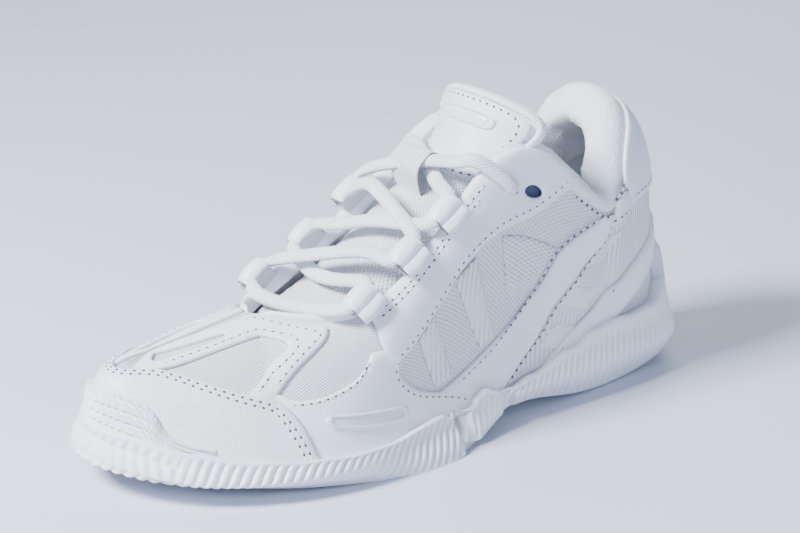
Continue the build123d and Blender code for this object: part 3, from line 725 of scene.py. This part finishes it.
def build_overlays():
    # side panel round the forefoot
    edge = [(4.45, 0.05), (4.8, 0.12), (5.15, 0.20), (5.38, 0.30), (5.5, 0.40), (5.48, 0.48)]
    tip = [(5.48, 0.48), (5.6, 0.55), (5.78, 0.62)]
    arch = [(5.9, 0.64), (6.0, 0.53), (6.2, 0.47), (6.5, 0.43), (6.78, 0.425), (6.92, 0.455), (7.2, 0.46)]
    base = [(7.2, 0.46), (7.2, 0.2), (7.1, 0.0)]
    foot = [(7.1, 0.0), (6.3, 0.0), (5.4, 0.0), (4.45, 0.0)]
    rows = [[(4.5, 0.03), (4.82, 0.10), (5.17, 0.175), (5.42, 0.28), (5.55, 0.40), (5.53, 0.46)],
            [(5.93, 0.60), (6.03, 0.50), (6.22, 0.445), (6.5, 0.405), (6.8, 0.395)]]
    pair("side_leather", LEATHER, [edge, tip, [(5.78, 0.62), (5.9, 0.64)], arch, base, foot,
                                   [(4.45, 0.0), (4.45, 0.05)]], [], LOW, HIGH, "flex", "leather",
         "side_panel", rows)
    # vamp overlay with finger windows
    outline = [[(6.98, 0.44), (6.70, 0.62), (6.42, 0.80), (6.36, 0.91)],
            [(6.36, 0.91), (6.7, 0.93), (7.05, 0.97)],
               [(7.05, 0.97), (8.0, 0.985), (9.0, 0.985)], [(9.0, 0.985), (9.35, 0.88), (9.4, 0.80)],
               [(9.4, 0.80), (8.6, 0.74), (7.9, 0.58), (7.3, 0.44), (7.15, 0.40)],
               [(7.15, 0.40), (6.98, 0.44)]]
    window_one = [[(7.45, 0.905), (8.1, 0.925), (8.8, 0.955)], [(8.8, 0.955), (8.85, 0.90), (8.7, 0.87)],
                  [(8.7, 0.87), (8.0, 0.865), (7.5, 0.87)], [(7.5, 0.87), (7.42, 0.885), (7.45, 0.905)]]
    window_two = [[(6.84, 0.795), (7.15, 0.81), (7.7, 0.80), (8.3, 0.785), (8.75, 0.80)],
                  [(8.75, 0.80), (8.8, 0.785), (8.6, 0.755)],
                  [(8.6, 0.755), (7.9, 0.60), (7.5, 0.51), (7.30, 0.49)],
                  [(7.30, 0.49), (7.12, 0.55), (6.90, 0.66), (6.77, 0.74), (6.77, 0.78), (6.84, 0.795)]]
    rows = [[(6.72, 0.83), (7.15, 0.845), (7.7, 0.835), (8.5, 0.825)],
            [(7.20, 0.48), (7.02, 0.55), (6.80, 0.66), (6.67, 0.75), (6.66, 0.80), (6.72, 0.83)],
            [(6.97, 0.49), (6.76, 0.62), (6.49, 0.80), (6.46, 0.87), (6.75, 0.905), (7.1, 0.94)]]
    pair("vamp_leather", LEATHER, outline, [window_one, window_two], LOW, HIGH + 0.2, "flex", "leather",
         "vamp_overlay", rows)
    # bands of the quarter
    front = [[(2.95, 0.90), (3.12, 0.80), (3.4, 0.62), (3.5, 0.49), (3.75, 0.33), (4.15, 0.215),
            (4.65, 0.155), (5.0, 0.14)],
             [(5.0, 0.14), (4.9, 0.05), (4.85, 0.0)], [(4.85, 0.0), (4.4, 0.0), (4.0, 0.01)],
             [(4.0, 0.01), (3.55, 0.17), (3.38, 0.29), (3.23, 0.41), (3.08, 0.52), (2.9, 0.65),
              (2.4, 0.74), (1.9, 0.70)],
             [(1.9, 0.70), (1.9, 0.80), (2.1, 0.86)], [(2.1, 0.86), (2.5, 0.90), (2.95, 0.90)]]
    rows = [[(3.93, 0.03), (3.5, 0.185), (3.33, 0.30), (3.18, 0.42), (3.03, 0.53), (2.85, 0.67),
            (2.4, 0.765), (2.0, 0.735)],
            [(3.02, 0.87), (3.16, 0.80), (3.45, 0.61), (3.55, 0.48), (3.8, 0.31), (4.18, 0.19),
             (4.65, 0.13)]]
    pair("front_band_leather", LEATHER, front, [], LOW, HIGH, "rearfoot", "leather", "front_band", rows)
    rear = [[(0.55, 0.46), (1.03, 0.42), (2.05, 0.385), (2.48, 0.33), (2.95, 0.22), (3.2, 0.13),
            (3.6, 0.0)],
            [(3.6, 0.0), (3.45, 0.0), (3.3, 0.0)],
            [(3.3, 0.0), (2.85, 0.085), (2.35, 0.15), (1.9, 0.22), (1.03, 0.31), (0.55, 0.40)],
            [(0.55, 0.40), (0.5, 0.43), (0.55, 0.46)]]
    rows = [[(0.7, 0.445), (1.05, 0.405), (2.03, 0.365), (2.43, 0.31), (2.9, 0.20), (3.4, 0.03)]]
    pair("rear_band_leather", LEATHER, rear, [], LOW, HIGH + 0.5, "rearfoot", "leather", "rear_band",
         rows, puff=0.5)
    strap_b = [[(5.22, 0.48), (4.95, 0.17)], [(4.95, 0.17), (4.70, 0.18)], [(4.70, 0.18), (5.02, 0.54)],
               [(5.02, 0.54), (5.22, 0.48)]]
    strap_a = [[(4.74, 0.60), (4.30, 0.22)], [(4.30, 0.22), (4.10, 0.25)], [(4.10, 0.25), (4.46, 0.62)],
               [(4.46, 0.62), (4.74, 0.60)]]
    pair("strap_front_cloth", RIBBED, strap_b, [], LOW, HIGH - 0.3, "rearfoot", "mesh", "cage_strap_front")
    pair("strap_rear_cloth", RIBBED, strap_a, [], LOW, HIGH - 0.3, "rearfoot", "mesh", "cage_strap_rear")
    patch = [[(4.12, 0.64), (3.98, 0.42)], [(3.98, 0.42), (3.62, 0.42)], [(3.62, 0.42), (3.42, 0.62)],
             [(3.42, 0.62), (4.12, 0.64)]]
    pair("quarter_patch_cloth", MESH, patch, [], LOW, LOW + 0.6, "rearfoot", "mesh", "quarter_patch")
    strip = [[(2.95, 0.90), (2.4, 0.86), (1.9, 0.80), (1.3, 0.72), (0.7, 0.68)],
             [(0.7, 0.68), (0.6, 0.58), (0.55, 0.44)],
             [(0.55, 0.44), (1.03, 0.40), (2.05, 0.37), (2.48, 0.32), (2.95, 0.21), (3.3, 0.06)],
             [(3.3, 0.06), (3.6, 0.04), (3.9, 0.02)],
             [(3.9, 0.02), (3.55, 0.17), (3.38, 0.29), (3.23, 0.41), (3.08, 0.52), (2.92, 0.65),
              (2.95, 0.90)]]
    for side, turn in (("lateral", lambda q: q), ("medial", mirror)):
        obj = cut_panel(f"rear_strip_{side}", RIBBED, turn(strip), [], -0.2, 0.45)
        finish_piece(obj, "rearfoot", "mesh")
        for k, (near, far) in enumerate(((0.16, 0.27), (0.37, 0.47), (0.60, 0.72))):
            spot = [[(3.62 - near * 1.05, near), (3.48 - far * 1.0, far)],
                    [(3.48 - far * 1.0, far), (3.05 - far * 1.35, far - 0.05)],
                    [(3.05 - far * 1.35, far - 0.05), (3.2 - near * 1.3, near - 0.04)],
                    [(3.2 - near * 1.3, near - 0.04), (3.62 - near * 1.05, near)]]
            obj = cut_panel(f"dotted_patch_{side}_{k}", DOTTED, turn(spot), [], 0.3, 0.85)
            finish_piece(obj, "rearfoot", "mesh")
    # heel tab
    tab = [[(-1.9, 0.72), (-1.0, 0.60), (0, 0.57), (1.0, 0.60), (1.9, 0.72)],
           [(1.9, 0.72), (1.9, 0.80), (2.0, 0.88)],
           [(2.0, 0.88), (1.6, 0.97), (0, 0.985), (-1.6, 0.97), (-2.0, 0.88)],
           [(-2.0, 0.88), (-1.9, 0.80), (-1.9, 0.72)]]
    obj = cut_panel("heel_tab_leather", LEATHER, tab, [], LOW, HIGH + 0.4)
    finish_piece(obj, "rearfoot", "leather", "heel_tab")
    rows = [[(-1.8, 0.74), (-1.0, 0.63), (0, 0.60), (1.0, 0.63), (1.8, 0.74)]]
    finish_piece(stitches("heel_tab_stitches", [(r, HIGH + 0.38) for r in rows]), "rearfoot", "leather")

    # second layer: toe cap and eyestays
    cap = [[(6.58, 0.03), (6.65, 0.16), (6.75, 0.29), (6.95, 0.41), (7.3, 0.48), (7.9, 0.62), (8.6, 0.77),
            (9.3, 0.83),
            (10, 0.84), (10.7, 0.83), (11.4, 0.77), (12.1, 0.62), (12.7, 0.48), (13.05, 0.41),
            (13.25, 0.29),
            (13.35, 0.16), (13.42, 0.03)], [(13.42, 0.03), (12, 0.03), (10, 0.05), (8, 0.03), (6.58, 0.03)]]
    obj = cut_panel("toe_cap_leather", GRAINED, cap, [], LOW2, HIGH2)
    finish_piece(obj, "flex", "leather", "toe_cap")
    rows = []
    for back in (0.025, 0.055):
        rows.append([(6.62 + back * 2.2, 0.06), (6.69 + back * 2.2, 0.17), (6.80 + back * 2.2, 0.29),
                (6.99 + back, 0.40 - back * 0.6),
                     (7.3, 0.48 - back), (7.9, 0.62 - back), (8.6, 0.77 - back), (9.3, 0.83 - back),
                     (10, 0.84 - back),
                     (10.7, 0.83 - back), (11.4, 0.77 - back), (12.1, 0.62 - back), (12.7, 0.48 - back),
                     (13.01 - back, 0.40 - back * 0.6), (13.2 - back * 2.2, 0.29),
                     (13.31 - back * 2.2, 0.17)])
    finish_piece(stitches("toe_cap_stitches", [(r, HIGH2 - 0.02) for r in rows]), "flex", "leather")
    stay = [[(6.02, 0.97), (5.9, 0.85), (5.78, 0.64), (5.56, 0.47)],
            [(5.56, 0.47), (5.35, 0.50), (5.08, 0.56), (4.75, 0.63), (4.55, 0.65), (4.23, 0.67),
             (3.93, 0.70), (3.7, 0.78),
             (3.48, 0.93)],
            [(3.48, 0.93), (3.5, 0.97), (3.55, 0.995)],
            [(3.55, 0.995), (4.3, 0.995), (5.2, 0.995), (6.02, 0.995)],
            [(6.02, 0.995), (6.02, 0.97)]]
    rows = [[(5.6, 0.50), (5.37, 0.53), (5.1, 0.59), (4.77, 0.66), (4.57, 0.68), (4.24, 0.70),
            (3.95, 0.73), (3.74, 0.80),
             (3.55, 0.93)],
            [(5.92, 0.90), (5.5, 0.915), (5.0, 0.92), (4.5, 0.93)],
            [(5.87, 0.85), (5.5, 0.87), (5.05, 0.88), (4.55, 0.885)]]
    hole = disc(3.88, 0.10, 0.027)
    pair("eyestay_leather", LEATHER, stay, [hole], LOW2, HIGH2, "rearfoot", "leather", "eyestay", rows)
    for side, turn in (("lateral", 3.88), ("medial", N - 3.88)):
        # A dark disc under the eyelet hole: painted shade for the inside of the hole.
        obj = cut_panel(f"eyelet_{side}_painted_shade", SHADE, disc(turn, 0.13, 0.035), [], 0.2, 0.5, grid=1.0)
        finish_piece(obj, "rearfoot", "leather")


# ---- collar, tongue, laces ----------------------------------------------------------------------
def closed_curve(points, count):
    """Smooth closed section through points (rings, k, 3), resampled to count points."""
    k = points.shape[1]
    out = []
    for s in np.arange(count) * k / count:
        i = int(s)
        out.append(ease(*(points[:, (i + d) % k] for d in (-1, 0, 1, 2)), s - i))
    return np.stack(out, 1)


def oval(centre, across, up, width, height, around):
    """Oval rings about the points of a line."""
    turn = np.linspace(0, 2 * math.pi, around, endpoint=False)[None, :, None]
    return centre[:, None] + across[:, None] * np.cos(turn) * width + up[:, None] * np.sin(turn) * height


def build_throat_binding():
    """Turned edge that closes the layers along both sides of the throat."""
    for side, first, last in (("lateral", 3.55, 7.0), ("medial", 13.0, 16.45)):
        a = np.linspace(first, last, 110)
        centre = layer(a, 0.985, -0.7)
        up = normal(a, 0.98)
        over = unit(np.cross(unit(np.gradient(centre, axis=0)), up))
        taper = np.clip(np.minimum(a - first, last - a) / 0.15, 0.3, 1)[:, None, None]
        rings = oval(centre, up, over, 3.5 * taper, 1.5 * taper, 16)
        obj = tube_mesh("throat_binding_" + side, rings, LEATHER, 16)
        tidy(obj)
        finish_piece(obj, "flex", "leather")


def inflate(obj, voxel, pressure, limit, frames=20):
    """Fills a padded piece with cloth physics: its remeshed skin under pressure, then smoothed."""
    mod = obj.modifiers.new("remesh", "REMESH")
    mod.mode = "VOXEL"
    mod.voxel_size = voxel * MM
    apply_modifiers(obj)
    before = np.empty(len(obj.data.vertices) * 3)
    obj.data.vertices.foreach_get("co", before)
    cloth = obj.modifiers.new("cloth", "CLOTH")
    cloth.settings.use_pressure = True
    cloth.settings.uniform_pressure_force = pressure
    cloth.settings.effector_weights.gravity = 0
    cloth.settings.quality = 5
    cloth.point_cache.frame_start = 1
    cloth.point_cache.frame_end = frames
    scene = bpy.context.scene
    for f in range(1, frames + 1):
        scene.frame_set(f)
    shape = obj.evaluated_get(bpy.context.evaluated_depsgraph_get()).to_mesh()
    after = np.empty_like(before)
    shape.vertices.foreach_get("co", after)
    obj.modifiers.clear()
    move = (after - before).reshape(-1, 3)
    size = np.linalg.norm(move, axis=1, keepdims=True)
    move *= np.minimum(1, limit * MM / np.maximum(size, 1e-9))
    obj.data.vertices.foreach_set("co", before + move.ravel())
    scene.frame_set(1)
    mod = obj.modifiers.new("soft", "SUBSURF")
    mod.levels = 1
    apply_modifiers(obj)
    obj.data.polygons.foreach_set("use_smooth", [True] * len(obj.data.polygons))


def apply_modifiers(obj):
    bpy.context.view_layer.update()
    shape = obj.evaluated_get(bpy.context.evaluated_depsgraph_get())
    mesh = bpy.data.meshes.new_from_object(shape)
    obj.modifiers.clear()
    obj.data = mesh


def build_collar():
    """Padded roll round the ankle: thin along the sides, thick behind the heel."""
    a = np.linspace(-5.35, 5.35, 260)
    side = np.abs(a)
    thick = 3.1 + 3.6 * np.clip((4.4 - side) / 1.6, 0, 1)**1.5 * (0.86 + 0.14 * np.clip(3.2 - side, 0, 1))
    thick = thick * np.clip((5.4 - side) / 0.5, 0.12, 1)**0.5
    thick = thick * (1 + 0.035 * np.sin(a * 8.3) + 0.025 * np.sin(a * 17.1 + 1))
    thick = thick[:, None]
    top = rim(a)
    inward = unit((np.array((60, 0, 0)) - top) * (1, 1, 0))
    deep = np.clip((4.6 - side) / 2.0, 0, 1)
    low = 0.93 - 0.27 * deep
    section = [layer(a, 0.965, 0.75), top + inward * thick * 0.35 + UP * thick * 0.62,
               top + inward * thick * 1.15 + UP * thick * 0.55,
               top + inward * thick * 1.95 - UP * thick * 0.25,
               top + inward * thick * 2.15 - UP * thick * 1.3,
               layer(a, (low + 0.9) / 2, -4.0 - thick[:, 0] * 1.15),
               layer(a, low, -4.4), layer(a, low, -2.4), layer(a, (low + 0.9) / 2, -1.3),
               layer(a, 0.93, -0.9)]
    rings = closed_curve(np.stack(section, 1), 40)
    obj = tube_mesh("collar_roll", rings, FLEECE, 60)
    tidy(obj)
    inflate(obj, 2.4, 4.0, 1.2)
    finish_piece(obj, "rearfoot", "textile", "collar_padding", "collar_lining")
    seam = [(side_a, 0.90) for side_a in np.linspace(-3.4, 3.4, 9)]
    sewn = stitches("collar_stitches", [(seam, 1.1)])
    finish_piece(sewn, "rearfoot", "leather")


TONGUE_SCALE = (121.0, 20.0)


def tongue_outline(low, high, side, flare, round_by):
    """Outline of a piece of the tongue, with a rounded top."""
    foot = side * 0.9
    return [[(low, -foot), (low, 0.0), (low, foot)],
            [(low, foot), ((low * 2 + high) / 3, side + flare * 0.7), (high - round_by, side + flare),
             (high - round_by * 0.35, side + flare * 0.4), (high, side * 0.62), (high + 0.006, 0.0),
             (high, -side * 0.62), (high - round_by * 0.35, -side - flare * 0.4),
             (high - round_by, -side - flare), ((low * 2 + high) / 3, -side - flare * 0.7), (low, -foot)]]


def fold(obj):
    """Bakes the placement in; the points of the tongue's fold line are worked out but not used."""
    high, low = (tuple((tongue_point(u, 0.0, 0.0) + ORIGIN) * MM) for u in (0.80, 0.68))
    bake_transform(obj)


def build_tongue():
    wide = tongue_outline(0.765, 0.985, 1.04, 0.20, 0.08)
    pad = cut_panel("tongue_top_pad", FLEECE, wide, [], -5.6, 0.2, tongue_point, TONGUE_SCALE, puff=1.2)
    finish_piece(pad, "tongue_top", "textile", "tongue_top", "tongue_lining")
    face = tongue_outline(0.655, 0.972, 0.94, 0.20, 0.075)
    face[0] = [(0.665, -0.94), (0.635, -0.5), (0.625, 0.0), (0.635, 0.5), (0.665, 0.94)]
    face[1][0] = face[0][-1]
    face[1][-1] = face[0][0]
    panel = cut_panel("tongue_leather", GRAINED, face, [], 1.6, 2.9, tongue_point, TONGUE_SCALE)
    fold(panel)
    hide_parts("tongue_panel")
    edge = dense(wide[1:], step=1.0, scale=TONGUE_SCALE)
    edge = np.concatenate([edge, [edge[-1] * 0 + (0.757, -0.99)]])
    centre = tongue_point(edge[:, 0], edge[:, 1], -1.7)
    up = unit(tongue_point(edge[:, 0], edge[:, 1], 1.0) - centre)
    along = unit(np.gradient(centre, axis=0))
    out = unit(np.cross(along, up))
    ripple = (1 + 0.03 * np.sin(np.arange(len(edge)) * 2.1))[:, None, None]
    rings = oval(centre, out, up, 1.9 * ripple, 3.4 * ripple, 16)
    roll = tube_mesh("tongue_binding", rings, FLEECE, 14)
    tidy(roll)
    finish_piece(roll, "tongue_top", "textile")
    arc = [(0.682, -0.90), (0.652, -0.5), (0.642, 0.0), (0.652, 0.5), (0.682, 0.90)]
    edge_row = [(0.70, 0.90), (0.77, 0.93), (0.835, 0.99), (0.885, 1.01), (0.935, 0.92), (0.957, 0.58),
            (0.962, 0.0),
                (0.957, -0.58), (0.935, -0.92), (0.885, -1.01), (0.835, -0.99), (0.77, -0.93),
                (0.70, -0.90)]
    sewn = stitches("tongue_stitches", [(arc, 2.88), (edge_row, 2.88)], tongue_point)
    fold(sewn)
    plaque("tongue_badge_plate", (0.885, -0.06), (0.033, 0.62), 2.8, tongue_point, TONGUE_SCALE,
           "tongue_top", "tongue_badge")
    body = [[(0.03, -1.05), (0.3, -1.16), (0.5, -1.14), (0.735, -0.97)],
            [(0.735, -0.97), (0.735, 0.0), (0.735, 0.97)],
            [(0.735, 0.97), (0.5, 1.14), (0.3, 1.16), (0.03, 1.05)],
            [(0.03, 1.05), (0.03, 0.0), (0.03, -1.05)]]
    obj = cut_panel("tongue_mesh", MESH, body, [], -3.4, 0.4, tongue_point, TONGUE_SCALE, puff=2.2)
    finish_piece(obj, "rearfoot", "mesh", "tongue_body")
    # ribbed webbing keeper over the top crossing of the lace
    s = np.linspace(-1, 1, 48)
    u = 0.600 + 0.075 * np.sign(s) * np.abs(s)**0.8
    lift = 1.2 + 13.6 * np.clip(1 - np.abs(s)**3.2, 0, 1)
    width = 0.33
    section = [(-width, 0.0), (-width * 0.5, 0.12), (0.0, 0.16), (width * 0.5, 0.12), (width, 0.0),
               (width * 0.5, -1.1), (0.0, -1.1), (-width * 0.5, -1.1)]
    rings = np.stack([tongue_point(u, v + 0 * u, lift + t) for v, t in section], 1)
    rings = closed_curve(rings, 24)
    strap = tube_mesh("lace_keeper_webbing", rings, WEBBING, 26)
    tidy(strap)
    finish_piece(strap, "rearfoot", "textile", "lace_keeper")


def plaque(name, centre, half, t, place, scale, body, *nodes):
    """Plain badge: a rounded plate with a raised rim round a lower field, with no words."""
    def shape(k, cx=0.0):
        pts = []
        for q in range(28):
            angle = 2 * math.pi * q / 28
            c, s = math.cos(angle), math.sin(angle)
            x = math.copysign(abs(c)**0.5, c) * half[0] * k + centre[0]
            y = math.copysign(abs(s)**0.5, s) * half[1] * k + centre[1]
            pts.append((x, y))
        return [pts + pts[:1]]
    plate = cut_panel(name, BADGE, shape(1.0), [shape(0.80)], t - 0.4, t + 1.0, place, scale, grid=1.0)
    floor = cut_panel(name + "_field", BADGE, shape(0.84), [], t - 0.4, t + 0.45, place, scale, grid=1.2)
    finish_piece(plate, body, "badge", *nodes)
    finish_piece(floor, body, "badge")


LOOPS = [("medial_1", -3, 26, 9.5), ("medial_2", 22, 25, 6.5), ("medial_3", 46, 24, 6),
         ("lateral_1", 8, -25, 6), ("lateral_2", 32, -26, 6), ("lateral_3", 54, -26, 6)]
LACE_ROUTE = [(76, 25, -3), (78, 23, 2.5), (76, 14, 6.5), (70, 0, 7.5), (63, -14, 6.5), (60, -23, 6.5),
        (54, -26, 6),
              (47, -25, 6), (42, -16, 7), (37, -2, 8.5), (31, 12, 7.5), (28, 21, 7), (22, 25, 6.5),
              (15, 24, 7),
              (11, 14, 6.5), (9, 1, 6), (12, -12, 5.5), (14, -22, 6), (8, -25, 6), (1, -23, 6.5),
              (-4, -10, 6),
              (-8, 6, 6.5), (-9, 20, 8.5), (-3, 26, 9.5), (4, 25, 9), (8, 14, 12), (16, -2, 12.5),
              (24, -15, 10),
              (26, -23, 7), (32, -26, 6), (39, -24, 6.5), (43, -14, 10), (47, 0, 14.5), (48, 13, 12),
              (46, 24, 6),
              (54, 24.5, 7), (59, 16, 10), (63, 4, 12.2), (68, -8, 12.2), (73, -18, 10), (77, -25, 8)]


def build_laces():
    route = [throat(*p) for p in LACE_ROUTE]
    route += [layer(4.22, 0.865, 5.2), layer(4.18, 0.845, 1.6)]
    f = spline(route)
    p = f(np.linspace(0, len(route) - 1, 3000))
    length = np.concatenate([[0], np.cumsum(np.linalg.norm(np.diff(p, axis=0), axis=1))])
    at = np.linspace(0, length[-1], int(length[-1] / 0.8))
    line = np.stack([np.interp(at, length, p[:, c]) for c in range(3)], -1)
    along = unit(np.gradient(line, axis=0))
    face = np.array((-0.574, 0, 0.819))
    middle = line * (0, 1, 0)
    up = unit(face + unit(middle + 1e-6) * np.clip(np.abs(line[:, 1:2]) - 17, 0, 8) / 8 * 0.9)
    side = unit(np.cross(along, up))
    for _ in range(6):
        before = np.roll(side, 1, 0)
        same_way = np.sign(np.sum(side * before, -1, keepdims=True))
        side = unit(side + 0.5 * (before + np.roll(side, -1, 0)) * same_way)
    up = unit(np.cross(side, along))
    turn = np.linspace(0, 2 * math.pi, 18, endpoint=False)
    braid = (1 + 0.035 * np.sin(at[:, None] * 2 * math.pi / 2.2 + turn[None] * 6))[..., None]
    rings = oval(line, side, up, 2.9 * braid, 2.0 * braid, 18)
    obj = tube_mesh("shoe_lace", rings, LACE, 14)
    tidy(obj)
    finish_piece(obj, "rearfoot", "lace", "lace")
    for name, u, y, h in LOOPS:
        out = 1.0 if y > 0 else -1.0
        x = np.linspace(-1, 1, 15)
        ends = 1 + 0.05 * np.cos(x * math.pi)
        over = [(math.cos(q), math.sin(q)) for q in np.radians(np.linspace(200, -20, 13))]
        outer = [(-c * 4.3, sn * 4.0) for c, sn in over]
        inner = [(-c * 3.1, sn * 2.8) for c, sn in over[::-1]]
        flat = [(-4.4, -4.6)] + outer[:11] + [(5.2, -1.4), (6.3, -3.4), (7.2, -5.6), (6.3, -6.0),
                (5.2, -3.9),
                                              (4.1, -2.2)] + inner[2:] + [(-3.2, -4.8)]
        rings = []
        for k, grow in zip(x, ends):
            round_off = math.sqrt(max(1 - abs(k)**8, 0.0)) * 0.5 + 0.5
            rings.append([throat(u + k * 6.0, y + out * yy * grow,
                    h + (hh if hh < 0 else hh * grow * round_off))
                          for yy, hh in flat])
        loop_obj = tube_mesh("lace_tab_" + name, np.array(rings), LEATHER, 30)
        tidy(loop_obj)
        finish_piece(loop_obj, "rearfoot", "leather", "lace_loop_" + name)


def build_insole():
    """Foam insole seen through the opening, placed on the flex line."""
    source = frame["nodes"]["sockliner"]
    mesh = source.data.copy()
    mesh.materials.clear()
    mesh.materials.append(FLEECE)
    obj = bpy.data.objects.new("insole_cloth", mesh)
    bpy.context.scene.collection.objects.link(obj)
    finish_piece(obj, "flex", "textile", "sockliner")


def build_badges():
    # slanted plate low on the forefoot, lateral side
    outline = [[(6.40, 0.235), (6.47, 0.28), (6.43, 0.315)], [(6.43, 0.315), (6.0, 0.27), (5.47, 0.20)],
               [(5.47, 0.20), (5.40, 0.16), (5.43, 0.12)], [(5.43, 0.12), (5.9, 0.165), (6.40, 0.235)]]
    inner = [[(6.36, 0.25), (6.39, 0.28), (6.37, 0.295)], [(6.37, 0.295), (6.0, 0.255), (5.52, 0.19)],
             [(5.52, 0.19), (5.47, 0.16), (5.50, 0.14)], [(5.50, 0.14), (5.9, 0.18), (6.36, 0.25)]]
    rim_piece = cut_panel("side_badge_rim", BADGE, outline, [inner], HIGH - 0.3, HIGH + 1.0, grid=1.2)
    field = cut_panel("side_badge_field", BADGE, outline, [], HIGH - 0.3, HIGH + 0.45, grid=1.2)
    finish_piece(rim_piece, "flex", "badge")
    finish_piece(field, "flex", "badge")


# ---- run ----------------------------------------------------------------------------------------
build_stage()
build_sole()
build_bumper()
build_base()
build_overlays()
build_collar()
build_throat_binding()
build_tongue()
build_laces()
build_badges()
build_insole()

MATERIAL_OF = {"rubber": RUBBER, "foam": FOAM, "stiffener": FOAM, "board": BOARD, "textile": LINING,
        "mesh": MESH,
               "leather": LEATHER, "badge": BADGE, "lace": LACE}
for part in frame["record"]["subparts"]:
    obj = frame["nodes"][part["node"]]
    obj.data.materials.clear()
    obj.data.materials.append(MATERIAL_OF[part["material_slot"]])
